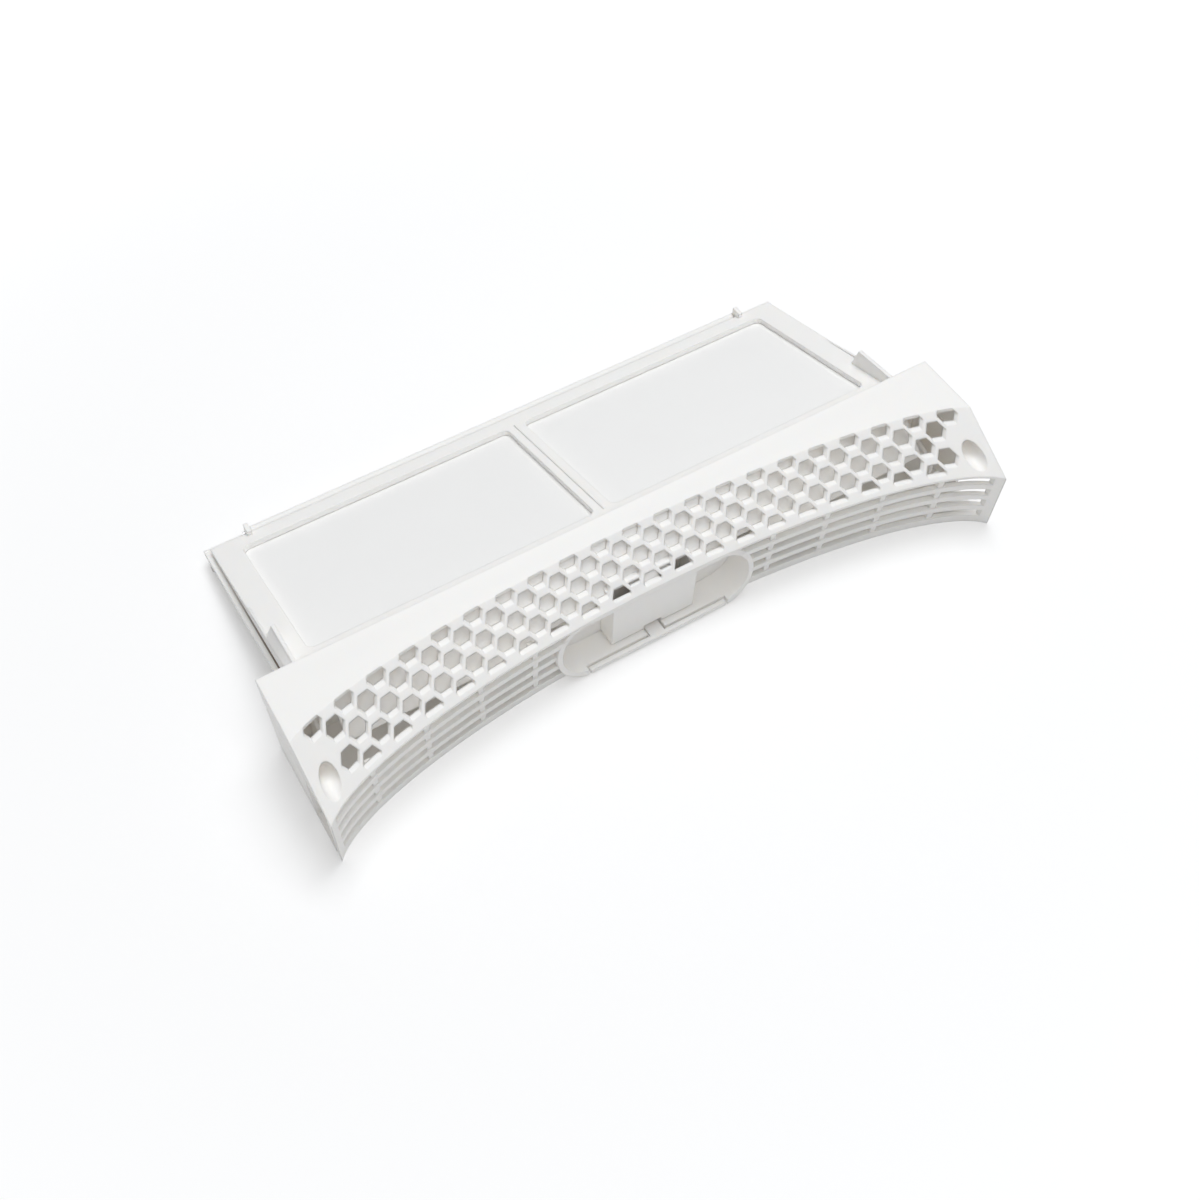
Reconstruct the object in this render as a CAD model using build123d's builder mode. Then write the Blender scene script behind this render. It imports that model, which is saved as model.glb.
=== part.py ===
from build123d import *
import os
from math import acos, cos, degrees, floor, radians, sin, sqrt, tan

os.makedirs("parts", exist_ok=True)

# A tumble dryer lint filter lying on its base, in millimetres.
# +X runs along the head, -Y to the finger pocket, +Z up. The origin is under the middle of its box.
# Two mesh frames form a wedge-shaped pouch, hinged at the back and open to the hollow head in front.

# Head: outline
HEAD_WIDTH = 370.0
FLANGE_HEIGHT = 58.5
LIP_HEIGHT = 38.5
FLANGE_DEPTH = 12.4
GRILLE_DEPTH = 24.8
BORDER_BOW = 33.5
BORDER_OVERRUN = 8.0
LIP_BOW = 41.8
LIP_OVERRUN = 3.0
WALL_LEAN = 2.0

# Head: walls, measured front to back where they slope
SHELL_WALL = 2.2
LOUVRE_WALL = 3.0
GRILLE_WALL = 3.5
END_POST = 5.0

# Honeycomb grille
HEX_WIDTH = 10.4
HEX_RISE = 5.6
HEX_PITCH = 17.3
HEX_ROWS = 5
HEX_ROW_STEP = 4.0
HEX_FIRST_ROW = 2.2
HEX_MARGIN = 2.0
LIP_BAND = 1.4

# Louvred wall
SLOT_ROWS = 4
SLOT_PITCH = 8.9
SLOT_RISE = 5.2
SLOT_FIRST = 7.8
SLOT_END_MARGIN = 3.6
RIB_WIDTH = 3.0
RIB_DEPTH = 4.0
RIB_PITCH = 30.3
RIB_FIRST = 36.6
RIB_COUNT = 5
RIB_SETBACK = 0.8
RIB_FOOT_GAP = 0.6

# Dimples near the ends of the grille
DIMPLE_RADIUS = 4.5
DIMPLE_FROM_END = 8.5
DIMPLE_HEIGHT = 44.6
DIMPLE_WALL = 2.0
DIMPLE_DEPTH = 14.0

# Finger pocket and grip block
POCKET_WIDTH = 112.0
POCKET_FOOT = 1.0
POCKET_RIM = 3.0
POCKET_DEPTH = 12.0
POCKET_WALL = 2.0
POCKET_PROUD_FOOT = 5.6
BLOCK_WIDTH = 47.0
BLOCK_FOOT = 5.0
BLOCK_LEAN = 1.4
BLOCK_WALL = 2.0
BLOCK_RIB = 9.0
TOWER_RISE = 4.4
TOWER_ROOF = 1.0

# Hinge at the back
ROD_RADIUS = 1.25
ROD_RUNNING_GAP = 0.05
KNUCKLE_RADIUS = 2.4
KNUCKLE_GAP = 0.6
HINGE_HEIGHT = 10.4
HINGE_SPAN = 299.0
EAR_WIDTH = 2.4
EAR_RISE = 4.5
EAR_LENGTH = 6.0

# Upper frame
UPPER_TILT = 17.95
UPPER_WIDTH = 341.0
UPPER_RISE_AT_HINGE = 2.1
PLATE_WALL = 2.4
PLATE_BACK_GAP = 3.1
WINDOW_BACK = 12.7
WINDOW_LENGTH = 97.0
WINDOW_FRONT = 11.2
WINDOW_SPAN = 313.5
WINDOW_CORNER = 4.0
DIVIDER_WIDTH = 9.7
WELL_WALL = 1.8
WELL_DEPTH = 0.4
DIVIDER_RIB = 1.0
DIVIDER_RIB_RISE = 0.5
SKIRT_WALL = 2.0
SKIRT_INSET = 4.0
SKIRT_GAP = 0.6
NECK_SETBACK = 4.5
NECK_WALL = 2.2
FIN_WALL = 2.0
FIN_RISE = 11.7
FIN_CLIMB = 3.9
FIN_BACK = 83.2
FIN_LENGTH = 31.0
FIN_SLANT = 4.0
FIN_INSET = 4.5

# Lower frame
LOWER_TILT = 11.9
LOWER_WIDTH = 347.0
LOWER_DROP_AT_HINGE = 0.9
LOWER_WALL = 3.0
NEST_GAP = 0.8
FOOT_RIB_WALL = 2.4
FOOT_RIB_SETBACK = 0.6
CORNER_REACH = 1.1

# Filter gauze
GAUZE = 0.6
GAUZE_SEAT = 3.0

# Base tray under the head
TRAY_WALL = 2.2
TRAY_SETBACK = 2.0
TRAY_SIDE_GAP = 0.4
TRAY_FRONT_GAP = 2.6
TRAY_TOP_GAP = 8.0
END_SEAM = 1.0
END_OPENING = 28.0
EAR_GAP = 0.8
GUSSET_WALL = 2.0
GUSSET_INSET = 16.6
GUSSET_RISE = 34.0
POCKET_GAP = 2.0

# Latch lever in the pocket's foot
BAR_WIDTH = 78.4
BAR_DEPTH = 2.4
BAR_RISE = 2.2
BAR_FOOT = 1.4
BAR_GAP = 1.0
STEM_WIDTH = 8.0
STEM_RISE = 1.6
STEM_ROOM = 7.6
TRUNNION_RADIUS = 1.6
TRUNNION_GAP = 0.06
BARREL_RADIUS = 2.6
BEARING_WALL = 3.0
BEARING_GAP = 0.4
LATCH_TO_POCKET = 9.0
LATCH_HEIGHT = 6.0
HOOK_WALL = 2.0
HOOK_RISE = 12.0
HOOK_NOSE = 1.6
HOOK_NOSE_RISE = 3.0
CATCH_DEPTH = 1.6
CATCH_RISE = 2.0
CATCH_GAP = 0.5
SPRING_WALL = 1.0
SPRING_LENGTH = 7.0

# Worked out from the sizes above
HEAD_HALF = HEAD_WIDTH / 2
BORDER_REACH = HEAD_HALF + BORDER_OVERRUN
LIP_REACH = HEAD_HALF + LIP_OVERRUN
FLANGE_TO_HINGE = (WINDOW_BACK + WINDOW_LENGTH + WINDOW_FRONT) * cos(radians(UPPER_TILT))


def curve_drop(x, reach, bow):
    """How far a front curve has come forward at x, from its middle."""
    return bow * (1 - sqrt(1 - (x / reach) ** 2))


DEPTH = (
    KNUCKLE_RADIUS + FLANGE_TO_HINGE + FLANGE_DEPTH + GRILLE_DEPTH
    + curve_drop(HEAD_HALF, LIP_REACH, LIP_BOW)
)
HINGE_Y = DEPTH / 2 - KNUCKLE_RADIUS
FLANGE_BACK_Y = HINGE_Y - FLANGE_TO_HINGE
BORDER_Y = FLANGE_BACK_Y - FLANGE_DEPTH
LIP_Y = BORDER_Y - GRILLE_DEPTH
FOOT_Y = LIP_Y + WALL_LEAN
FLANGE_UNDER = FLANGE_HEIGHT - SHELL_WALL
POCKET_BACK_Y = LIP_Y + POCKET_DEPTH + POCKET_WALL
POCKET_HEIGHT = LIP_HEIGHT - POCKET_FOOT
POCKET_MID = POCKET_FOOT + POCKET_HEIGHT / 2
TRAY_BACK_Y = FLANGE_BACK_Y - TRAY_SETBACK
NECK_Y = FLANGE_BACK_Y - NECK_SETBACK
UPPER_HALF = UPPER_WIDTH / 2
LOWER_HALF = LOWER_WIDTH / 2
DIMPLE_X = HEAD_HALF - DIMPLE_FROM_END
ROD_BORE = ROD_RADIUS + ROD_RUNNING_GAP


def plate_plane(rise, tilt):
    """Top of a frame: its local y runs back and down from the hinge line, its normal up."""
    angle = radians(tilt)
    return Plane((0, HINGE_Y, HINGE_HEIGHT + rise), x_dir=(1, 0, 0), z_dir=(0, sin(angle), cos(angle)))


def upper_top(y):
    return HINGE_HEIGHT + UPPER_RISE_AT_HINGE + tan(radians(UPPER_TILT)) * (HINGE_Y - y)


def lower_top(y):
    return HINGE_HEIGHT - LOWER_DROP_AT_HINGE + tan(radians(LOWER_TILT)) * (HINGE_Y - y)


def facing_front(y):
    """Upright plane at y that looks to the front: local x is X, local y is Z."""
    return Plane.XZ.offset(-y)


def side_view(*corners):
    """Closed outline seen from the side: local x is Y, local y is Z."""
    with BuildSketch() as outline:
        Polygon(*corners, align=None)
    return outline.sketch


def plan_section(height, half, back_y, mid_y, reach, bow):
    """Level section of the head: straight back and ends, hollow curved front."""
    start = degrees(acos(half / reach))
    with BuildSketch(Plane.XY.offset(height)) as section:
        with BuildLine():
            front = EllipticalCenterArc((0, mid_y - bow), reach, bow, start, arc_size=180 - 2 * start)
            Polyline(front @ 1, (-half, back_y), (half, back_y), front @ 0)
        make_face()
    return section.sketch


def head_sections(wall, grille, end, back_y):
    """Foot, lip and border of the head, moved in by the given walls."""
    half = HEAD_HALF - end
    return [
        plan_section(0, half, back_y, FOOT_Y + wall, LIP_REACH, LIP_BOW),
        plan_section(LIP_HEIGHT, half, back_y, LIP_Y + wall, LIP_REACH, LIP_BOW),
        plan_section(FLANGE_HEIGHT, half, back_y, BORDER_Y + grille, BORDER_REACH, BORDER_BOW),
    ]


def slope_y(height, x=0.0):
    """Front face of the sloping grille at a height."""
    share = (height - LIP_HEIGHT) / (FLANGE_HEIGHT - LIP_HEIGHT)
    lip = LIP_Y - curve_drop(x, LIP_REACH, LIP_BOW)
    border = BORDER_Y - curve_drop(x, BORDER_REACH, BORDER_BOW)
    return lip + share * (border - lip)


def hex_row(row):
    """Middles of one row of hexagons, staggered by half a pitch in every other row."""
    last = row == HEX_ROWS - 1
    limit = HEAD_HALF - HEX_WIDTH - HEX_MARGIN / 2
    if not last:
        limit = DIMPLE_X - DIMPLE_RADIUS - HEX_WIDTH / 2 - HEX_MARGIN
    shift = 0.5 if row % 2 else 0.0
    count = 2 * floor(limit / HEX_PITCH + shift) + (0 if row % 2 else 1)
    return [(i - (count - 1) / 2) * HEX_PITCH for i in range(count)]


# Ribs behind the louvres, cut to the inside of the wall
with BuildPart() as louvre_ribs:
    for side in (-1, 1):
        for i in range(RIB_COUNT):
            rib_x = RIB_FIRST + i * RIB_PITCH
            rib_back = LIP_Y + LOUVRE_WALL + RIB_DEPTH - curve_drop(rib_x, LIP_REACH, LIP_BOW)
            with BuildSketch(facing_front(rib_back)):
                with Locations((side * rib_x, LIP_HEIGHT)):
                    Rectangle(
                        RIB_WIDTH, LIP_HEIGHT - TRAY_WALL - RIB_FOOT_GAP, align=(Align.CENTER, Align.MAX)
                    )
            extrude(amount=RIB_DEPTH + LOUVRE_WALL + WALL_LEAN)
    loft(head_sections(RIB_SETBACK, GRILLE_WALL, SHELL_WALL, 0), ruled=True, mode=Mode.INTERSECT)

# Bosses behind the dimples, cut to the middle of the grille's wall
with BuildPart() as dimple_bosses:
    dimple_back = slope_y(DIMPLE_HEIGHT, DIMPLE_X) + DIMPLE_DEPTH
    for side in (-1, 1):
        with BuildSketch(facing_front(dimple_back)):
            with Locations((side * DIMPLE_X, DIMPLE_HEIGHT)):
                Circle(DIMPLE_RADIUS + DIMPLE_WALL)
        extrude(amount=DIMPLE_DEPTH * 2)
    loft(head_sections(LOUVRE_WALL / 2, GRILLE_WALL / 2, 0, 0), ruled=True, mode=Mode.INTERSECT)

# Finger pocket: a rim round two finger recesses, with the grip block standing between them
pocket_face = Plane(
    (0, LIP_Y, LIP_HEIGHT), x_dir=(1, 0, 0), z_dir=(0, -POCKET_HEIGHT, POCKET_PROUD_FOOT)
)
recess_back_y = POCKET_BACK_Y - POCKET_WALL
recess_height = POCKET_HEIGHT - 2 * POCKET_RIM
pocket_reach = POCKET_DEPTH + POCKET_WALL + 2 * POCKET_PROUD_FOOT
bar_front_y = LIP_Y - POCKET_PROUD_FOOT
with BuildPart() as pocket_shell:
    with BuildSketch(facing_front(POCKET_BACK_Y)):
        with Locations((0, POCKET_MID)):
            SlotOverall(POCKET_WIDTH, POCKET_HEIGHT)
    extrude(amount=pocket_reach)
    split(bisect_by=pocket_face, keep=Keep.BOTTOM)
    with BuildSketch(facing_front(recess_back_y)):
        with Locations((0, POCKET_MID)):
            SlotOverall(POCKET_WIDTH - 2 * POCKET_RIM, recess_height)
        with Locations((0, BLOCK_FOOT + POCKET_HEIGHT / 2)):
            Rectangle(BLOCK_WIDTH, POCKET_HEIGHT, mode=Mode.SUBTRACT)
    extrude(amount=pocket_reach, mode=Mode.SUBTRACT)
    with BuildSketch(facing_front(LIP_Y)):
        with Locations((0, POCKET_MID)):
            SlotOverall(POCKET_WIDTH - 2 * POCKET_RIM, recess_height)
    extrude(amount=pocket_reach, mode=Mode.SUBTRACT)
    # Face of the block, leaning back towards its foot
    with BuildSketch(Plane.YZ):
        Polygon(
            (LIP_Y, LIP_HEIGHT - POCKET_RIM), (LIP_Y, BLOCK_FOOT), (LIP_Y + BLOCK_LEAN, BLOCK_FOOT), align=None
        )
    extrude(amount=BLOCK_WIDTH / 2, both=True, mode=Mode.SUBTRACT)
    # Tower over the block, up to the slope behind the first row of holes
    with BuildSketch(Plane.YZ):
        Polygon(
            (POCKET_BACK_Y, LIP_HEIGHT - POCKET_RIM),
            (POCKET_BACK_Y, LIP_HEIGHT + TOWER_RISE),
            (slope_y(LIP_HEIGHT + TOWER_RISE) + GRILLE_WALL / 2, LIP_HEIGHT + TOWER_RISE),
            (LIP_Y + GRILLE_WALL / 2, LIP_HEIGHT - POCKET_RIM),
            align=None,
        )
    extrude(amount=BLOCK_WIDTH / 2, both=True)

# Hollows of the grip block, either side of its middle rib and up to the middle of the grille's wall
hollow_width = BLOCK_WIDTH / 2 - BLOCK_WALL - BLOCK_RIB / 2
hollow_foot = STEM_ROOM + BLOCK_WALL
hollow_top = LIP_HEIGHT + TOWER_RISE - TOWER_ROOF
with BuildPart() as block_hollows:
    with BuildSketch(facing_front(recess_back_y)):
        for side in (-1, 1):
            with Locations((side * (BLOCK_RIB + hollow_width) / 2, hollow_foot)):
                Rectangle(hollow_width, hollow_top - hollow_foot, align=(Align.CENTER, Align.MIN))
    extrude(amount=POCKET_DEPTH - BLOCK_LEAN - BLOCK_WALL)
    loft(head_sections(LOUVRE_WALL / 2, GRILLE_WALL / 2, SHELL_WALL, 0), ruled=True, mode=Mode.INTERSECT)

# Head
with BuildPart() as grille_head:
    loft(head_sections(0, 0, 0, FLANGE_BACK_Y), ruled=True)
    loft(head_sections(LOUVRE_WALL, GRILLE_WALL, SHELL_WALL, HINGE_Y), ruled=True, mode=Mode.SUBTRACT)
    # Ends: open below the lip's height for the tray, except for a post at the front
    end_front = LIP_Y - curve_drop(HEAD_HALF, LIP_REACH, LIP_BOW)
    end_opening = side_view(
        (HINGE_Y, -END_POST),
        (HINGE_Y, LIP_HEIGHT),
        (end_front + END_POST, LIP_HEIGHT),
        (end_front + END_POST, -END_POST),
    )
    for side in (-1, 1):
        with BuildSketch(Plane.YZ.offset(side * HEAD_HALF)):
            add(end_opening)
        extrude(amount=-side * SHELL_WALL, mode=Mode.SUBTRACT)
    # Honeycomb, drawn along Y through the slope, one row at a time
    for row in range(HEX_ROWS):
        row_height = LIP_HEIGHT + HEX_FIRST_ROW + row * HEX_ROW_STEP
        with BuildSketch(facing_front(slope_y(row_height + HEX_RISE / 2) + GRILLE_WALL)):
            with Locations(*[(x, row_height) for x in hex_row(row)]):
                Polygon(
                    (HEX_WIDTH / 2, 0),
                    (HEX_WIDTH / 4, HEX_RISE / 2),
                    (-HEX_WIDTH / 4, HEX_RISE / 2),
                    (-HEX_WIDTH / 2, 0),
                    (-HEX_WIDTH / 4, -HEX_RISE / 2),
                    (HEX_WIDTH / 4, -HEX_RISE / 2),
                )
            # The lip stays whole in front of the first row
            with Locations((0, LIP_HEIGHT + LIP_BAND)):
                Rectangle(HEAD_WIDTH, LIP_HEIGHT, align=(Align.CENTER, Align.MAX), mode=Mode.SUBTRACT)
        extrude(amount=DEPTH / 2, mode=Mode.SUBTRACT)
    # Louvres
    slot_length = HEAD_HALF - SLOT_END_MARGIN - RIB_FIRST
    with BuildSketch(facing_front(FLANGE_BACK_Y)):
        for i in range(SLOT_ROWS):
            for side in (-1, 1):
                with Locations((side * (RIB_FIRST + slot_length / 2), SLOT_FIRST + i * SLOT_PITCH)):
                    Rectangle(slot_length, SLOT_RISE)
    extrude(amount=DEPTH / 2, mode=Mode.SUBTRACT)
    add(louvre_ribs.part)
    # Flange over the chamber
    extrude(
        plan_section(FLANGE_HEIGHT, HEAD_HALF, FLANGE_BACK_Y, BORDER_Y, BORDER_REACH, BORDER_BOW),
        amount=-SHELL_WALL,
    )
    # Finger pocket let into the wall
    with BuildSketch(facing_front(recess_back_y)):
        with Locations((0, POCKET_MID)):
            SlotOverall(POCKET_WIDTH - 2 * POCKET_RIM, recess_height)
    extrude(amount=pocket_reach, mode=Mode.SUBTRACT)
    add(pocket_shell.part)
    add(block_hollows.part, mode=Mode.SUBTRACT)
    # Room for the latch bar and its stem
    with BuildSketch(facing_front(bar_front_y + BAR_DEPTH + BAR_GAP)):
        Rectangle(BAR_WIDTH + 2 * BAR_GAP, 2 * (BAR_FOOT + BAR_RISE + BAR_GAP))
    extrude(amount=pocket_reach, mode=Mode.SUBTRACT)
    with BuildSketch(facing_front(FLANGE_BACK_Y)):
        Rectangle(STEM_WIDTH + 2 * BAR_GAP, 2 * STEM_ROOM)
    extrude(amount=DEPTH / 2, mode=Mode.SUBTRACT)
    # Ledge that the latch hook catches
    catch_height = LATCH_HEIGHT + HOOK_RISE - HOOK_NOSE_RISE - CATCH_GAP
    with Locations((0, POCKET_BACK_Y, catch_height)):
        Box(STEM_WIDTH, CATCH_DEPTH, CATCH_RISE, align=(Align.CENTER, Align.MIN, Align.MAX))
    add(dimple_bosses.part)
    with BuildSketch(facing_front(dimple_back - DIMPLE_WALL)):
        for side in (-1, 1):
            with Locations((side * DIMPLE_X, DIMPLE_HEIGHT)):
                Circle(DIMPLE_RADIUS)
    extrude(amount=DEPTH / 2, mode=Mode.SUBTRACT)
grille_head.part.label = "grille_head"
export_step(grille_head.part, "parts/grille_head.step")

# Windows of the two frames, in a frame's own plane
window_width = (WINDOW_SPAN - DIVIDER_WIDTH) / 2
window_x = (DIVIDER_WIDTH + window_width) / 2
window_mid = -(WINDOW_BACK + WINDOW_LENGTH / 2)


def windows(plane, grow):
    """Both windows of a frame, made larger all round by grow."""
    with BuildSketch(plane) as pair:
        with Locations((-window_x, window_mid), (window_x, window_mid)):
            Rectangle(window_width + 2 * grow, WINDOW_LENGTH + 2 * grow)
    return pair.sketch


def plate(plane, width, front_y, tilt):
    """Outline of a frame's plate, from just ahead of the hinge to front_y."""
    reach = (HINGE_Y - front_y) / cos(radians(tilt))
    with BuildSketch(plane) as outline:
        with Locations((0, -(PLATE_BACK_GAP + reach) / 2)):
            Rectangle(width, reach - PLATE_BACK_GAP)
    return outline.sketch


def knuckle_outline(web_y, web_low, web_high):
    """Side view of a knuckle: a round eye with a web to its plate."""
    with BuildSketch() as outline:
        with Locations((HINGE_Y, HINGE_HEIGHT)):
            Circle(KNUCKLE_RADIUS)
        Polygon(
            (HINGE_Y, HINGE_HEIGHT),
            (HINGE_Y, web_high(HINGE_Y)),
            (web_y, web_high(web_y)),
            (web_y, web_low(web_y)),
            (HINGE_Y, web_low(HINGE_Y)),
            align=None,
        )
    return outline.sketch


# Upper frame
upper_plane = plate_plane(UPPER_RISE_AT_HINGE, UPPER_TILT)
upper_plate_drop = PLATE_WALL / cos(radians(UPPER_TILT))
plate_back_y = HINGE_Y - PLATE_BACK_GAP
with BuildPart() as upper_frame:
    extrude(plate(upper_plane, UPPER_WIDTH, NECK_Y - NECK_WALL / 2, UPPER_TILT), amount=-PLATE_WALL)
    extrude(windows(upper_plane, WELL_WALL), amount=-PLATE_WALL - WELL_DEPTH)
    with BuildSketch(upper_plane):
        with Locations((-window_x, window_mid), (window_x, window_mid)):
            RectangleRounded(window_width, WINDOW_LENGTH, WINDOW_CORNER)
    extrude(amount=-PLATE_WALL - WELL_DEPTH, mode=Mode.SUBTRACT)
    with BuildSketch(upper_plane):
        with Locations((0, window_mid)):
            Rectangle(DIVIDER_RIB, WINDOW_LENGTH)
    extrude(amount=DIVIDER_RIB_RISE)
    # Neck up to the underside of the flange
    with BuildSketch(Plane.YZ):
        Polygon(
            (NECK_Y, upper_top(NECK_Y) - upper_plate_drop),
            (NECK_Y, FLANGE_UNDER),
            (NECK_Y - NECK_WALL, FLANGE_UNDER),
            (NECK_Y - NECK_WALL, upper_top(NECK_Y) - upper_plate_drop),
            align=None,
        )
    extrude(amount=UPPER_HALF, both=True)
    # Side skirts that close the wedge down to the lower frame
    skirt = side_view(
        (plate_back_y, upper_top(plate_back_y) - upper_plate_drop / 2),
        (NECK_Y, upper_top(NECK_Y) - upper_plate_drop / 2),
        (NECK_Y, lower_top(NECK_Y) + SKIRT_GAP),
        (plate_back_y, lower_top(plate_back_y) + SKIRT_GAP),
    )
    for side in (-1, 1):
        with BuildSketch(Plane.YZ.offset(side * (UPPER_HALF - SKIRT_INSET))):
            add(skirt)
        extrude(amount=-side * SKIRT_WALL)
    # Side fins beside the head
    fin_back_y = HINGE_Y - FIN_BACK
    fin_front_y = fin_back_y - FIN_LENGTH
    fin_top = upper_top(fin_back_y) + FIN_RISE
    fin = side_view(
        (fin_back_y, upper_top(fin_back_y) - upper_plate_drop / 2),
        (fin_back_y - FIN_SLANT, fin_top),
        (fin_front_y, fin_top + FIN_CLIMB),
        (fin_front_y, upper_top(fin_front_y) - upper_plate_drop / 2),
    )
    for side in (-1, 1):
        with BuildSketch(Plane.YZ.offset(side * (UPPER_HALF - FIN_INSET))):
            add(fin)
        extrude(amount=FIN_WALL / 2, both=True)
    # Upstanding ear with an eye for the rod at each end
    upper_knuckle = knuckle_outline(
        plate_back_y - KNUCKLE_RADIUS, lambda y: upper_top(y) - upper_plate_drop, upper_top
    )
    for side in (-1, 1):
        with BuildSketch(Plane.YZ.offset(side * HINGE_SPAN / 2)):
            add(upper_knuckle)
            with Locations((HINGE_Y - KNUCKLE_RADIUS, upper_top(HINGE_Y) - PLATE_WALL / 2)):
                Rectangle(EAR_LENGTH, EAR_RISE + PLATE_WALL / 2, align=(Align.CENTER, Align.MIN))
        extrude(amount=EAR_WIDTH / 2, both=True)
    with BuildSketch(Plane.YZ):
        with Locations((HINGE_Y, HINGE_HEIGHT)):
            Circle(ROD_BORE)
    extrude(amount=HINGE_SPAN, both=True, mode=Mode.SUBTRACT)
upper_frame.part.label = "upper_frame"
export_step(upper_frame.part, "parts/upper_frame.step")

# Lower frame
lower_plane = plate_plane(-LOWER_DROP_AT_HINGE, LOWER_TILT)
lower_plate_drop = LOWER_WALL / cos(radians(LOWER_TILT))
lower_grow = WELL_WALL + NEST_GAP
foot_rib_y = HINGE_Y - PLATE_BACK_GAP - FOOT_RIB_SETBACK
with BuildPart() as lower_frame:
    extrude(plate(lower_plane, LOWER_WIDTH, TRAY_BACK_Y - TRAY_WALL, LOWER_TILT), amount=-LOWER_WALL)
    extrude(windows(lower_plane, lower_grow), amount=-LOWER_WALL, mode=Mode.SUBTRACT)
    # Back corners, carried on beside the hinge
    corner_inner = HINGE_SPAN / 2 + EAR_WIDTH + KNUCKLE_GAP
    with BuildSketch(lower_plane):
        for side in (-1, 1):
            with Locations((side * (corner_inner + LOWER_HALF) / 2, CORNER_REACH)):
                Rectangle(
                    LOWER_HALF - corner_inner,
                    CORNER_REACH + PLATE_BACK_GAP + LOWER_WALL,
                    align=(Align.CENTER, Align.MAX),
                )
    extrude(amount=-LOWER_WALL)
    # Foot rib along the back edge, down to the floor
    with BuildSketch(Plane.YZ):
        Polygon(
            (foot_rib_y, 0),
            (foot_rib_y, lower_top(foot_rib_y) - lower_plate_drop / 2),
            (foot_rib_y - FOOT_RIB_WALL, lower_top(foot_rib_y) - lower_plate_drop / 2),
            (foot_rib_y - FOOT_RIB_WALL, 0),
            align=None,
        )
    extrude(amount=LOWER_HALF, both=True)
    # One long knuckle between the upper frame's ears
    lower_knuckle = knuckle_outline(
        plate_back_y - KNUCKLE_RADIUS, lambda y: lower_top(y) - lower_plate_drop, lower_top
    )
    with BuildSketch(Plane.YZ):
        add(lower_knuckle)
    extrude(amount=(HINGE_SPAN - EAR_WIDTH) / 2 - KNUCKLE_GAP, both=True)
    with BuildSketch(Plane.YZ):
        with Locations((HINGE_Y, HINGE_HEIGHT)):
            Circle(ROD_RADIUS)
    extrude(amount=HINGE_SPAN, both=True, mode=Mode.SUBTRACT)
lower_frame.part.label = "lower_frame"
export_step(lower_frame.part, "parts/lower_frame.step")

# Filter gauze under each window
for side, word in ((-1, "left"), (1, "right")):
    with BuildPart() as upper_mesh:
        with BuildSketch(upper_plane.offset(-PLATE_WALL - WELL_DEPTH)):
            with Locations((side * window_x, window_mid)):
                Rectangle(window_width + 2 * WELL_WALL, WINDOW_LENGTH + 2 * WELL_WALL)
        extrude(amount=-GAUZE)
    upper_mesh.part.label = "upper_mesh_" + word
    export_step(upper_mesh.part, "parts/upper_mesh_" + word + ".step")
    # The lower panes meet under the narrow divider, so they seat on half of it each
    lower_half_divider = DIVIDER_WIDTH / 2 - lower_grow
    pane_inner = lower_half_divider / 4
    pane_outer = window_x + window_width / 2 + lower_grow + GAUZE_SEAT
    with BuildPart() as lower_mesh:
        with BuildSketch(lower_plane.offset(-LOWER_WALL)):
            with Locations((side * (pane_inner + pane_outer) / 2, window_mid)):
                Rectangle(pane_outer - pane_inner, WINDOW_LENGTH + 2 * (lower_grow + GAUZE_SEAT))
        extrude(amount=-GAUZE)
    lower_mesh.part.label = "lower_mesh_" + word
    export_step(lower_mesh.part, "parts/lower_mesh_" + word + ".step")

# Hinge rod
with BuildPart() as hinge_rod:
    with BuildSketch(Plane.YZ):
        with Locations((HINGE_Y, HINGE_HEIGHT)):
            Circle(ROD_RADIUS)
    extrude(amount=HINGE_SPAN / 2 + EAR_WIDTH, both=True)
hinge_rod.part.label = "hinge_rod"
export_step(hinge_rod.part, "parts/hinge_rod.step")

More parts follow.
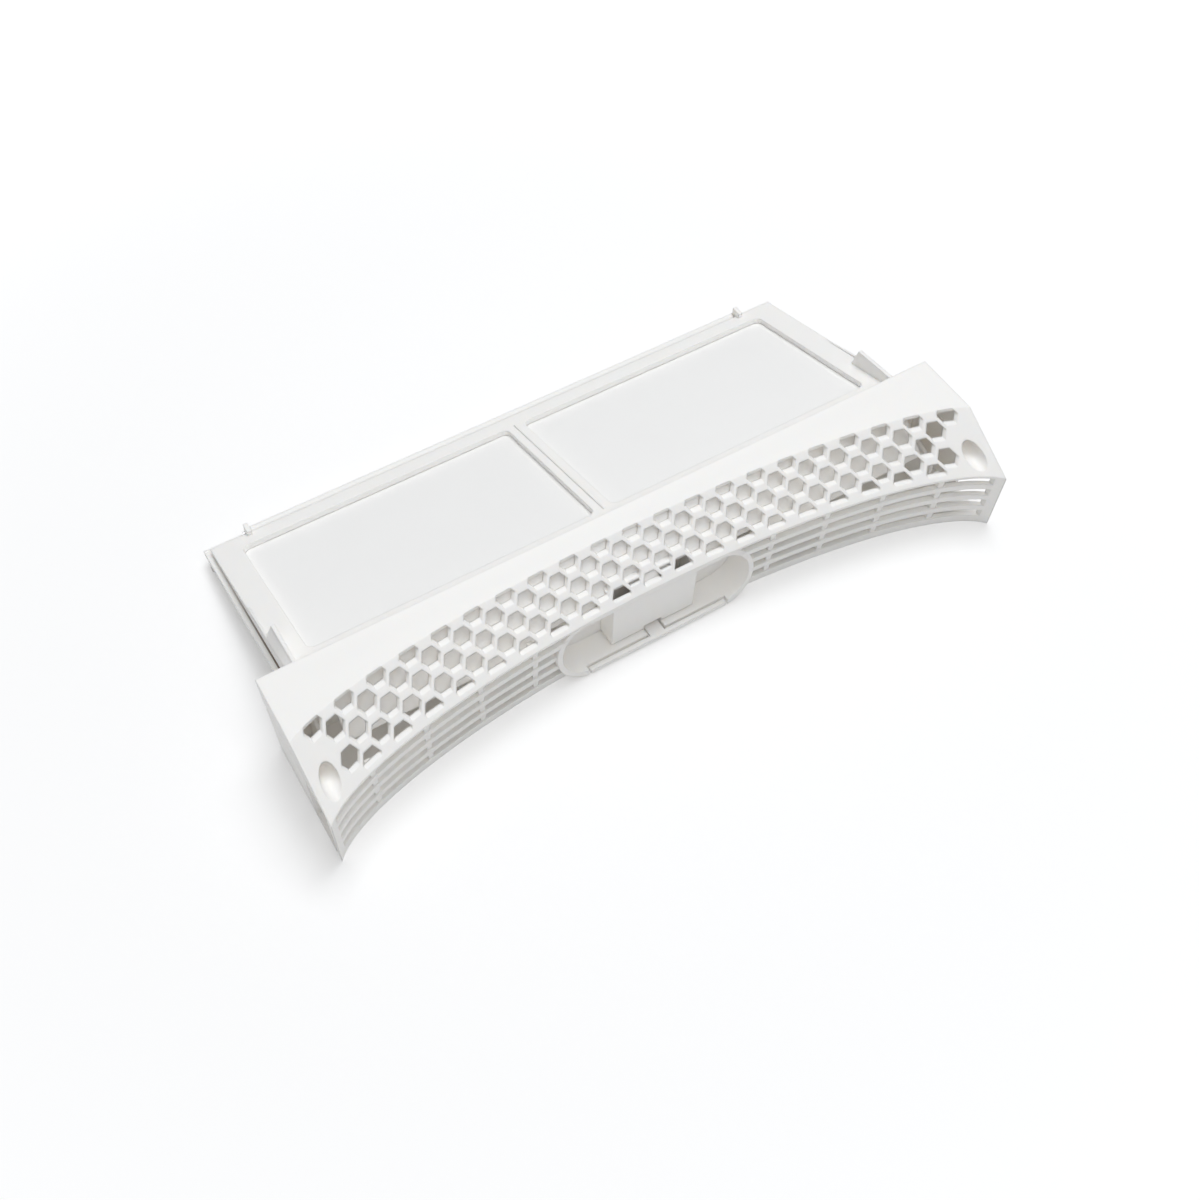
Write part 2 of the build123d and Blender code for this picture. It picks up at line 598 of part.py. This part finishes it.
# Base tray
latch_y = POCKET_BACK_Y + LATCH_TO_POCKET
tray_front_mid = FOOT_Y + LOUVRE_WALL + TRAY_FRONT_GAP
wall_top = lower_top(TRAY_BACK_Y) - lower_plate_drop
bearing_x = STEM_WIDTH / 2 + BEARING_GAP + BEARING_WALL / 2
with BuildPart() as base_tray:
    extrude(
        plan_section(0, HEAD_HALF, TRAY_BACK_Y, tray_front_mid, LIP_REACH, LIP_BOW), amount=TRAY_WALL
    )
    # Notch for the finger pocket
    with BuildSketch(Plane.XY):
        with Locations((0, POCKET_BACK_Y + POCKET_GAP)):
            Rectangle(POCKET_WIDTH + 2 * POCKET_GAP, DEPTH / 2, align=(Align.CENTER, Align.MAX))
    extrude(amount=TRAY_WALL, mode=Mode.SUBTRACT)
    # End walls under the head's ends, open towards the front
    end_top = LIP_HEIGHT - END_SEAM
    tray_tip = end_front + END_OPENING
    end_wall = side_view((TRAY_BACK_Y, 0), (TRAY_BACK_Y, end_top), (tray_tip, end_top), (tray_tip, 0))
    for side in (-1, 1):
        with BuildSketch(Plane.YZ.offset(side * HEAD_HALF)):
            add(end_wall)
        extrude(amount=-side * TRAY_WALL)
    # Back wall that carries the lower frame, with a taller ear beside the frames
    with BuildSketch(Plane.YZ):
        Polygon(
            (TRAY_BACK_Y, 0),
            (TRAY_BACK_Y, wall_top),
            (TRAY_BACK_Y - TRAY_WALL, lower_top(TRAY_BACK_Y - TRAY_WALL) - lower_plate_drop),
            (TRAY_BACK_Y - TRAY_WALL, 0),
            align=None,
        )
    extrude(amount=HEAD_HALF, both=True)
    ear_inner = LOWER_HALF + EAR_GAP
    ear_outer = HEAD_HALF - SHELL_WALL - TRAY_SIDE_GAP
    for side in (-1, 1):
        with Locations((side * (ear_inner + ear_outer) / 2, TRAY_BACK_Y, 0)):
            Box(
                ear_outer - ear_inner,
                TRAY_WALL,
                FLANGE_HEIGHT - TRAY_TOP_GAP,
                align=(Align.CENTER, Align.MAX, Align.MIN),
            )
    # Gussets between the back wall and the floor
    gusset = side_view(
        (TRAY_BACK_Y - TRAY_WALL / 2, 0),
        (TRAY_BACK_Y - TRAY_WALL / 2, wall_top - LOWER_WALL),
        (BORDER_Y, GUSSET_RISE),
        (LIP_Y, GUSSET_RISE - TRAY_TOP_GAP),
        (LIP_Y, 0),
    )
    for side in (-1, 1):
        with BuildSketch(Plane.YZ.offset(side * (HEAD_HALF - GUSSET_INSET))):
            add(gusset)
        extrude(amount=GUSSET_WALL / 2, both=True)
    # Bearings for the latch
    for side in (-1, 1):
        with BuildSketch(Plane.YZ.offset(side * bearing_x)):
            with Locations((latch_y, LATCH_HEIGHT)):
                Circle(BARREL_RADIUS)
            with Locations((latch_y, 0)):
                Rectangle(2 * BARREL_RADIUS, LATCH_HEIGHT, align=(Align.CENTER, Align.MIN))
            with Locations((latch_y, LATCH_HEIGHT)):
                Circle(TRUNNION_RADIUS + TRUNNION_GAP, mode=Mode.SUBTRACT)
        extrude(amount=BEARING_WALL / 2, both=True)
base_tray.part.label = "base_tray"
export_step(base_tray.part, "parts/base_tray.step")

# Latch lever: bar and stem in front, hook and trunnions in the tray, spring finger behind
with BuildPart() as latch_lever:
    with Locations((0, bar_front_y, BAR_FOOT)):
        Box(BAR_WIDTH, BAR_DEPTH, BAR_RISE, align=(Align.CENTER, Align.MIN, Align.MIN))
    with BuildSketch(Plane.YZ):
        Polygon(
            (bar_front_y + BAR_DEPTH / 2, BAR_FOOT + BAR_RISE - STEM_RISE),
            (bar_front_y + BAR_DEPTH / 2, BAR_FOOT + BAR_RISE),
            (POCKET_BACK_Y, BAR_FOOT + BAR_RISE),
            (latch_y, LATCH_HEIGHT + BARREL_RADIUS / 2),
            (latch_y, LATCH_HEIGHT - BARREL_RADIUS),
            (POCKET_BACK_Y, BAR_FOOT + BAR_RISE - STEM_RISE),
            align=None,
        )
        with Locations((latch_y, LATCH_HEIGHT)):
            Circle(BARREL_RADIUS)
        # Hook and its nose over the ledge
        hook_y = POCKET_BACK_Y + CATCH_DEPTH + CATCH_GAP + HOOK_NOSE
        hook_top = LATCH_HEIGHT + HOOK_RISE
        Polygon(
            (hook_y + HOOK_WALL, BAR_FOOT + BAR_RISE),
            (hook_y + HOOK_WALL, hook_top),
            (hook_y, hook_top),
            (hook_y - HOOK_NOSE, hook_top - HOOK_NOSE_RISE / 2),
            (hook_y - HOOK_NOSE, hook_top - HOOK_NOSE_RISE),
            (hook_y, hook_top - HOOK_NOSE_RISE),
            (hook_y, BAR_FOOT + BAR_RISE),
            align=None,
        )
        # Spring finger over the floor
        with Locations((latch_y, LATCH_HEIGHT)):
            Rectangle(SPRING_LENGTH, SPRING_WALL, align=(Align.MIN, Align.CENTER))
    extrude(amount=STEM_WIDTH / 2, both=True)
    with BuildSketch(Plane.YZ):
        with Locations((latch_y, LATCH_HEIGHT)):
            Circle(TRUNNION_RADIUS)
    extrude(amount=bearing_x + BEARING_WALL / 2, both=True)
latch_lever.part.label = "latch_lever"
export_step(latch_lever.part, "parts/latch_lever.step")
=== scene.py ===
from math import pi, prod, sin

import bmesh
import bpy
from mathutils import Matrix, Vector

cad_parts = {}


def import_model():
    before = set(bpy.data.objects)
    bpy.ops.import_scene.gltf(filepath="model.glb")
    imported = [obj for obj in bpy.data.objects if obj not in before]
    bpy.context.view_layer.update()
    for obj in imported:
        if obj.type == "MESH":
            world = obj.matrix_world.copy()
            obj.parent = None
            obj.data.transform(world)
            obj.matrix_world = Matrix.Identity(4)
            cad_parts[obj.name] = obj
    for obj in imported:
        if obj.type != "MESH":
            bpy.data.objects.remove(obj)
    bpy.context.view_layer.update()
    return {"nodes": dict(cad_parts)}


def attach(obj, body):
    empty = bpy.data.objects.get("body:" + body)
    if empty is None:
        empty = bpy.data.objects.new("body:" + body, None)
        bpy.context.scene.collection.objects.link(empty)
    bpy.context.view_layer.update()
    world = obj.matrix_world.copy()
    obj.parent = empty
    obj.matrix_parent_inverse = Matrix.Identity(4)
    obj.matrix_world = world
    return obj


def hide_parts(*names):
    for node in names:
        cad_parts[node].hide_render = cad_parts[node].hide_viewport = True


# Looks of a tumble dryer lint filter: white moulded plastic round fine gauze, on a white floor.
# All lengths are metres, in the frame of the solids: +X runs along the head, -Y to the finger
# pocket and +Z up.

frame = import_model()

# Camera, fitted to the photograph
CAMERA_AT = (-0.2245, -0.3830, 0.6045)
CAMERA_AIM = (-0.0131, -0.0302, 0.0)
CAMERA_LENS = 43.6
CAMERA_NEAR = 0.01
SENSOR_WIDTH = 36.0

# White plastic: its colours, the sizes of its patterns in features to the metre, its gloss, its
# rounded edges, and how far light goes into it
PLASTIC_COLOURS = ((0.941, 0.924, 0.896), (0.957, 0.942, 0.916))
PLASTIC_MOTTLE = 28.0
PLASTIC_GRAIN = 1500.0
PLASTIC_GRAIN_DEPTH = 0.00002
PLASTIC_DRIFT = 90.0
PLASTIC_ROUGHNESS = 0.36
PLASTIC_ROUGHNESS_SPREAD = 0.14
PLASTIC_IOR = 1.5
PLASTIC_GLOW_SHARE = 0.3
PLASTIC_GLOW_TINT = (1.0, 0.85, 0.7)
PLASTIC_GLOW_DEPTH = 0.003
EDGE_ROUND = 0.0009
EDGE_SAMPLES = 6

# Painted shade: a dark line coloured in the joint between the two frames, where the gap there lies
# in shade. How far out, how wide, and where along y it has faded to none and come to full strength
JOINT_SHADE_AT = 0.1706
JOINT_SHADE_WIDTH = 0.0007
JOINT_SHADE_NONE_Y = 0.11
JOINT_SHADE_FULL_Y = -0.02
JOINT_SHADE_COLOUR = (0.19, 0.135, 0.10)

# Gauze: its colours, threads, cloudiness and how much it hides
GAUZE_COLOURS = ((0.972, 0.969, 0.958), (0.995, 0.992, 0.982))
GAUZE_THREAD = 0.0005
GAUZE_THREAD_DEPTH = 0.00006
GAUZE_CLOUD = 22.0
GAUZE_CLOUD_SHARE = 0.6
GAUZE_ROUGHNESS = 0.72
GAUZE_ROUGHNESS_SPREAD = 0.12
GAUZE_COVER = 0.90
GAUZE_COVER_SPREAD = 0.09
WAVE_RADIANS = 20.0  # A wave pattern of scale 1 runs through this angle to the metre

# Drawn steel: its colours and the fine lines along X
STEEL_COLOURS = ((0.52, 0.52, 0.53), (0.68, 0.68, 0.69))
STEEL_LINES = (20.0, 2500.0, 2500.0)
STEEL_LINE_DEPTH = 0.00001
STEEL_ROUGHNESS = 0.22
STEEL_ROUGHNESS_SPREAD = 0.2

# Gauze panes: slack in the middle, with shallow ripples that cross
PANE_CELLS_ACROSS = 60
PANE_CELLS_BACK = 40
PANE_SAG = 0.0009
PANE_RIPPLE = 0.00012
PANE_RIPPLE_WAVES = ((9, 4), (-3, 7))

# Outer side walls of the upper frame: flush with its plate, closed down to a seam over the lower
# frame, and sloping up to the fin, whose upper edge is given as y and z
SIDE_WALL_OUT = 0.1704
SIDE_WALL_THICK = 0.0012
SIDE_WALL_BACK = 0.0888
SIDE_WALL_FRONT = -0.0232
SIDE_WALL_DROP = 0.0024
SIDE_WALL_SEAM = 0.0009
SIDE_WALL_CELLS = 24
FIN_SLOPE_REACH = 0.0037
FIN_EDGE = ((0.0089, 0.0370), (0.0049, 0.0508), (-0.0221, 0.0547), (-0.0232, 0.0548))

# How close a corner lies to a frame's outermost edge, and to the ends of that edge
EDGE_NEAR = 0.00005
EDGE_END_NEAR = 0.004

# Baffle behind the upper rows of the honeycomb: straight along the head, it hangs from the flange.
# Its top and foot are given as y and z. It is longer beside the finger pocket, and notched twice
# above the grip block.
BAFFLE_HALF = 0.160
BAFFLE_TOP = (-0.0338, 0.0564)
BAFFLE_FOOT = (-0.0550, 0.0386)
BAFFLE_HEM = 0.0025
BAFFLE_THICK = 0.0012
BAFFLE_CELLS = 64
BAFFLE_END_FROM = 0.061
BAFFLE_END_DROP = 0.0048
BAFFLE_NOTCH_FROM = 0.012
BAFFLE_NOTCH_TO = 0.023
BAFFLE_NOTCH_RISE = 0.0060

# Floor, which glows a little near the part and fully far from it
FLOOR_RADIUS = 6.0
FLOOR_SEGMENTS = 96
FLOOR_COLOUR = (0.86, 0.86, 0.86)
FLOOR_ROUGHNESS = 0.9
FLOOR_GLOW = (0.21, 0.21, 0.21)
FLOOR_GLOW_NEAR = 0.22
FLOOR_GLOW_FAR = 1.6
WHITE = (1.0, 1.0, 1.0)

# Light
SKY_LIGHT = 0.32
LAMP_AIM = (0.0, 0.0, 0.0)
LAMP_SIZE = 1.5
LAMP_COLOUR = (0.970, 0.983, 1.0)
TOP_LAMP_AT = (0.50, 0.44, 2.55)
TOP_LAMP_POWER = 34.5
FRONT_LAMP_AT = (-0.10, -1.10, 2.20)
FRONT_LAMP_POWER = 12.0
DIFFUSE_BOUNCES = 12


class Value:
    """A number that varies over a surface. Sums and products of values become Math nodes."""

    def __init__(self, finish, socket):
        self.finish = finish
        self.socket = socket

    def math(self, operation, first, second):
        return self.finish.node("ShaderNodeMath", {"operation": operation}, {0: first, 1: second})

    def __add__(self, other):
        return self.math("ADD", self, other)

    def __radd__(self, other):
        return self.math("ADD", other, self)

    def __sub__(self, other):
        return self.math("SUBTRACT", self, other)

    def __rsub__(self, other):
        return self.math("SUBTRACT", other, self)

    def __mul__(self, other):
        return self.math("MULTIPLY", self, other)

    def __rmul__(self, other):
        return self.math("MULTIPLY", other, self)

    def __abs__(self):
        return self.math("ABSOLUTE", self, 0.0)


class Finish:
    """A material, or the surroundings, with its node tree and its main shader."""

    def __init__(self, holder, shader="Principled BSDF"):
        holder.use_nodes = True
        self.holder = holder
        self.tree = holder.node_tree
        self.shader = self.tree.nodes[shader]

    def node(self, kind, settings=None, inputs=None, output=0):
        """Adds a node: its settings first, then the values or links of its sockets."""
        made = self.tree.nodes.new(kind)
        for key, value in (settings or {}).items():
            setattr(made, key, value)
        for key, value in (inputs or {}).items():
            self.feed(made.inputs[key], value)
        return Value(self, made.outputs[output])

    def feed(self, socket, value):
        """Links a value to a socket, or sets the socket to a constant."""
        if isinstance(value, Value):
            self.tree.links.new(value.socket, socket)
        else:
            socket.default_value = value

    def set(self, **inputs):
        """Sets or links the shader's own sockets, written with _ for a space."""
        for key, value in inputs.items():
            self.feed(self.shader.inputs[key.replace("_", " ")], value)

    def place(self):
        """Where a point lies, in metres in the frame of the solids."""
        return self.node("ShaderNodeTexCoord", output="Object")

    def noise(self, scale, detail=2.0):
        """Soft random values from 0 to 1, with scale features to the metre."""
        return self.node(
            "ShaderNodeTexNoise",
            inputs={"Vector": self.place(), "Scale": scale, "Detail": detail},
        )

    def mix(self, factor, first, second):
        """A colour between two others. The Mix node's colours are its sockets 6 and 7."""
        return self.node(
            "ShaderNodeMix",
            {"data_type": "RGBA"},
            {"Factor": factor, 6: opaque(first), 7: opaque(second)},
            output=2,
        )

    def ramp(self, value, none, full):
        """Smooth step from 0 where the value is none to 1 where it is full."""
        return self.node(
            "ShaderNodeMapRange",
            {"interpolation_type": "SMOOTHSTEP"},
            {"Value": value, "From Min": none, "From Max": full},
        )

    def bump(self, height, distance, edge_round=0.0):
        """Normals of a fine relief, over edges that look rounded."""
        inputs = {"Height": height, "Distance": distance}
        if edge_round:
            inputs["Normal"] = self.node(
                "ShaderNodeBevel", {"samples": EDGE_SAMPLES}, {"Radius": edge_round}
            )
        return self.node("ShaderNodeBump", inputs=inputs)

    def seen_rays(self):
        """One for rays that show a surface to the eye or in a reflection, none for other light."""
        return sum(
            self.node("ShaderNodeLightPath", output=kind)
            for kind in ("Is Camera Ray", "Is Glossy Ray", "Is Transmission Ray")
        )


def opaque(colour):
    """A colour as a socket takes it."""
    return colour if isinstance(colour, Value) else (*colour, 1.0)


def moulded_plastic(name, with_painted_joint_shade=False):
    """White satin plastic: faint mottling, a fine spark-eroded grain and uneven gloss, and on
    request a painted shade line along the joint between the frames.
    """
    finish = Finish(bpy.data.materials.new(name))
    mottle = finish.noise(PLASTIC_MOTTLE, detail=3.0)
    grain = finish.noise(PLASTIC_GRAIN, detail=1.0)
    drift = finish.noise(PLASTIC_DRIFT)
    white = finish.mix(mottle, *PLASTIC_COLOURS)
    if with_painted_joint_shade:
        # Painted shade: the dark joint line is coloured over the white where the gap between the
        # frames is in shade.
        white = finish.mix(painted_joint_shade_line(finish), white, JOINT_SHADE_COLOUR)
    finish.set(
        Base_Color=white,
        Roughness=PLASTIC_ROUGHNESS + PLASTIC_ROUGHNESS_SPREAD * drift,
        Normal=finish.bump(grain, PLASTIC_GRAIN_DEPTH, EDGE_ROUND),
        IOR=PLASTIC_IOR,
        Subsurface_Weight=PLASTIC_GLOW_SHARE,
        Subsurface_Radius=PLASTIC_GLOW_TINT,
        Subsurface_Scale=PLASTIC_GLOW_DEPTH,
    )
    return finish.holder


def painted_joint_shade_line(finish):
    """Painted shade along the joint beside the side walls: one there, weaker to the back where the
    gap closes, and none elsewhere.
    """
    x, y = (
        finish.node("ShaderNodeSeparateXYZ", inputs={0: finish.place()}, output=axis)
        for axis in "XY"
    )
    shade_band = finish.ramp(abs(abs(x) - JOINT_SHADE_AT), JOINT_SHADE_WIDTH, JOINT_SHADE_WIDTH / 2)
    return shade_band * finish.ramp(y, JOINT_SHADE_NONE_Y, JOINT_SHADE_FULL_Y)


def filter_gauze():
    """Fine polyester gauze: two crossing sets of threads, with a soft matt surface."""
    finish = Finish(bpy.data.materials.new("woven_filter_gauze"))
    weave = thread_ridges(finish, "X") * 0.5 + thread_ridges(finish, "Y") * 0.5
    cloud = finish.noise(GAUZE_CLOUD)
    shade = cloud * GAUZE_CLOUD_SHARE + weave * (1 - GAUZE_CLOUD_SHARE)
    finish.set(
        Base_Color=finish.mix(shade, *GAUZE_COLOURS),
        Roughness=GAUZE_ROUGHNESS + GAUZE_ROUGHNESS_SPREAD * weave,
        Alpha=GAUZE_COVER + GAUZE_COVER_SPREAD * weave,
        Normal=finish.bump(weave, GAUZE_THREAD_DEPTH),
    )
    return finish.holder


def thread_ridges(finish, direction):
    """Rounded ridges one thread apart."""
    return finish.node(
        "ShaderNodeTexWave",
        {"wave_type": "BANDS", "bands_direction": direction, "wave_profile": "SIN"},
        {
            "Vector": finish.place(),
            "Scale": 2 * pi / (WAVE_RADIANS * GAUZE_THREAD),
            "Distortion": 0.0,
        },
        output="Fac",
    )


def drawn_steel():
    """Bright drawn wire with fine lines along it."""
    finish = Finish(bpy.data.materials.new("drawn_steel_wire"))
    stretched = finish.node(
        "ShaderNodeMapping", inputs={"Vector": finish.place(), "Scale": STEEL_LINES}
    )
    lines = finish.node(
        "ShaderNodeTexNoise", inputs={"Vector": stretched, "Scale": 1.0, "Detail": 2.0}
    )
    finish.set(
        Base_Color=finish.mix(lines, *STEEL_COLOURS),
        Roughness=STEEL_ROUGHNESS + STEEL_ROUGHNESS_SPREAD * lines,
        Metallic=1.0,
        Normal=finish.bump(lines, STEEL_LINE_DEPTH),
    )
    return finish.holder


def dress(node, material):
    """Gives a solid its material."""
    piece = frame["nodes"][node]
    piece.data.materials.clear()
    piece.data.materials.append(material)


def corners_of(node):
    """The corners of a solid."""
    return [vertex.co.copy() for vertex in frame["nodes"][node].data.vertices]


def add_piece(shape, name, material):
    """Turns a built shape into a piece of the scene."""
    mesh = bpy.data.meshes.new(name)
    shape.to_mesh(mesh)
    shape.free()
    mesh.materials.append(material)
    piece = bpy.data.objects.new(name, mesh)
    bpy.context.collection.objects.link(piece)
    return piece


def close_rings(shape, rings):
    """Joins cross-sections into one closed body."""
    for near, far in zip(rings, rings[1:]):
        for k in range(len(near)):
            shape.faces.new((near[k], near[k - 1], far[k - 1], far[k]))
    shape.faces.new(rings[0])
    shape.faces.new(rings[-1])
    bmesh.ops.recalc_face_normals(shape, faces=shape.faces)


def gauze_pane(node, body, material):
    """Sheet of gauze stretched in a window, slack in the middle, in place of its solid."""
    solid = sorted(corners_of(node), key=lambda p: p.y)
    half = len(solid) // 2
    front = sum(solid[:half], Vector()) / half
    back = sum(solid[half:], Vector()) / half
    width = max(p.x for p in solid) - min(p.x for p in solid)
    down = Vector((1, 0, 0)).cross(front - back).normalized()
    if down.z > 0:
        down = -down
    shape = bmesh.new()
    rows = []
    for j in range(PANE_CELLS_BACK + 1):
        v = j / PANE_CELLS_BACK
        row = []
        for i in range(PANE_CELLS_ACROSS + 1):
            u = i / PANE_CELLS_ACROSS
            slack = (sin(pi * u) * sin(pi * v)) ** 0.5
            ripple = prod(sin(across * u + along * v) for across, along in PANE_RIPPLE_WAVES)
            point = front.lerp(back, v) + Vector(((u - 0.5) * width, 0, 0))
            row.append(shape.verts.new(point + down * slack * (PANE_SAG + PANE_RIPPLE * ripple)))
        rows.append(row)
    for low, high in zip(rows, rows[1:]):
        for i in range(PANE_CELLS_ACROSS):
            shape.faces.new((low[i], low[i + 1], high[i + 1], high[i])).smooth = True
    piece = add_piece(shape, node.replace("mesh", "gauze"), material)
    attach(piece, body)
    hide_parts(node)


def side_wall(side, word, material):
    """Outer wall of the upper frame on one side, from its plate or fin down to the seam."""
    plate = top_of("upper_frame", side)
    ledge = top_of("lower_frame", side)
    length = SIDE_WALL_FRONT - SIDE_WALL_BACK
    places = [
        SIDE_WALL_BACK + length * i / SIDE_WALL_CELLS for i in range(SIDE_WALL_CELLS + 1)
    ]
    places += [y for y, z in FIN_EDGE[:-1]]
    shape = bmesh.new()
    rings = []
    for y in sorted(places):
        high, low = plate(y) - SIDE_WALL_DROP, ledge(y) + SIDE_WALL_SEAM
        crest = max(high, fin_top(y))
        reach = FIN_SLOPE_REACH if crest > high else SIDE_WALL_THICK
        corners = (
            (0, high),
            (0, low),
            (SIDE_WALL_THICK, low),
            (reach, high - SIDE_WALL_THICK),
            (reach, crest),
        )
        rings.append([
            shape.verts.new((side * (SIDE_WALL_OUT - inset), y, z)) for inset, z in corners
        ])
    close_rings(shape, rings)
    piece = add_piece(shape, "upper_side_wall_" + word, material)
    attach(piece, "cover")


def top_of(node, side):
    """Height of a frame's sloping top by y, from the ends of its outermost upper edge."""
    corners = corners_of(node)
    out = max(side * p.x for p in corners)
    edge = [p for p in corners if side * p.x > out - EDGE_NEAR]
    front_y = min(p.y for p in edge)
    back_y = max(p.y for p in edge)
    front = max((p for p in edge if p.y < front_y + EDGE_END_NEAR), key=lambda p: p.z)
    back = max((p for p in edge if p.y > back_y - EDGE_END_NEAR), key=lambda p: p.z)
    slope = (front.z - back.z) / (front.y - back.y)
    return lambda y: back.z + slope * (y - back.y)


def fin_top(y):
    """Height of the fin's upper edge at a given y, and nothing behind the fin."""
    for (back_y, back_z), (front_y, front_z) in zip(FIN_EDGE, FIN_EDGE[1:]):
        if front_y <= y <= back_y:
            return front_z + (back_z - front_z) * (y - front_y) / (back_y - front_y)
    return 0.0


def baffle(material):
    """Light plate close behind the upper holes, with a hem turned back along its foot."""
    top, foot = Vector(BAFFLE_TOP), Vector(BAFFLE_FOOT)
    run = (foot - top).normalized()
    rear = Vector((-run.y, run.x))
    shape = bmesh.new()
    rings = []
    for i in range(BAFFLE_CELLS + 1):
        x = BAFFLE_HALF * (2 * i / BAFFLE_CELLS - 1)
        low = foot
        if abs(x) > BAFFLE_END_FROM:
            low = foot + run * BAFFLE_END_DROP
        elif BAFFLE_NOTCH_FROM < abs(x) < BAFFLE_NOTCH_TO:
            low = foot - run * BAFFLE_NOTCH_RISE
        hem = low + rear * BAFFLE_HEM
        outline = (
            top,
            low,
            hem,
            hem - run * BAFFLE_THICK,
            low + rear * BAFFLE_THICK - run * BAFFLE_THICK,
            top + rear * BAFFLE_THICK,
        )
        rings.append([shape.verts.new((x, corner.x, corner.y)) for corner in outline])
    close_rings(shape, rings)
    piece = add_piece(shape, "grille_baffle", material)
    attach(piece, "cover")


def floor():
    """White floor that shows pure white to the camera and still takes the part's shadow."""
    shape = bmesh.new()
    bmesh.ops.create_circle(shape, cap_ends=True, radius=FLOOR_RADIUS, segments=FLOOR_SEGMENTS)
    finish = Finish(bpy.data.materials.new("white_floor_paint"))
    finish.set(
        Base_Color=opaque(FLOOR_COLOUR), Roughness=FLOOR_ROUGHNESS, Specular_IOR_Level=0.0
    )
    reach = finish.node(
        "ShaderNodeVectorMath", {"operation": "LENGTH"}, {0: finish.place()}, output="Value"
    )
    far = finish.ramp(reach, FLOOR_GLOW_NEAR, FLOOR_GLOW_FAR)
    glow = finish.node(
        "ShaderNodeEmission",
        inputs={"Color": finish.mix(far, FLOOR_GLOW, WHITE), "Strength": finish.seen_rays()},
    )
    paint = Value(finish, finish.shader.outputs[0])
    both = finish.node("ShaderNodeAddShader", inputs={0: paint, 1: glow})
    finish.feed(finish.tree.nodes["Material Output"].inputs["Surface"], both)
    add_piece(shape, "white_floor", finish.holder)


def world():
    """Even white surroundings: full white to the camera, softer as light."""
    made = bpy.data.worlds.new("white_surroundings")
    bpy.context.scene.world = made
    finish = Finish(made, "Background")
    finish.set(
        Color=opaque(WHITE), Strength=SKY_LIGHT + (1 - SKY_LIGHT) * finish.seen_rays()
    )


def aimed(name, data, at, aim):
    """Puts a lamp or camera at a point, turned to another."""
    piece = bpy.data.objects.new(name, data)
    piece.location = at
    piece.rotation_euler = (Vector(aim) - Vector(at)).to_track_quat("-Z", "Y").to_euler()
    bpy.context.collection.objects.link(piece)
    return piece


def soft_lamp(name, at, power):
    """Large square lamp aimed at the part."""
    light = bpy.data.lights.new(name, "AREA")
    light.size = LAMP_SIZE
    light.energy = power
    light.color = LAMP_COLOUR
    aimed(name, light, at, LAMP_AIM)


def camera():
    """Camera of the photograph."""
    data = bpy.data.cameras.new("photo_camera")
    data.sensor_width = SENSOR_WIDTH
    data.lens = CAMERA_LENS
    data.clip_start = CAMERA_NEAR
    bpy.context.scene.camera = aimed("photo_camera", data, CAMERA_AT, CAMERA_AIM)


plastic = moulded_plastic("white_moulded_plastic")
# A copy of the plastic with a painted shade line along the joint between the frames.
plastic_with_painted_joint_shade = moulded_plastic("white_moulded_plastic_with_painted_joint_shade", with_painted_joint_shade=True)
gauze = filter_gauze()
steel = drawn_steel()

for node in ("grille_head", "upper_frame", "base_tray", "latch_lever"):
    dress(node, plastic)
# The lower frame's ledge carries the painted shade line of the joint.
dress("lower_frame", plastic_with_painted_joint_shade)
dress("hinge_rod", steel)
for node in ("upper_mesh_left", "upper_mesh_right"):
    gauze_pane(node, "cover", gauze)
for node in ("lower_mesh_left", "lower_mesh_right"):
    gauze_pane(node, "base", gauze)
for side, word in ((-1, "left"), (1, "right")):
    side_wall(side, word, plastic)
baffle(plastic)

floor()
world()
soft_lamp("top_lamp", TOP_LAMP_AT, TOP_LAMP_POWER)
soft_lamp("front_lamp", FRONT_LAMP_AT, FRONT_LAMP_POWER)
camera()
bpy.context.scene.view_settings.view_transform = "Standard"
bpy.context.scene.cycles.diffuse_bounces = DIFFUSE_BOUNCES
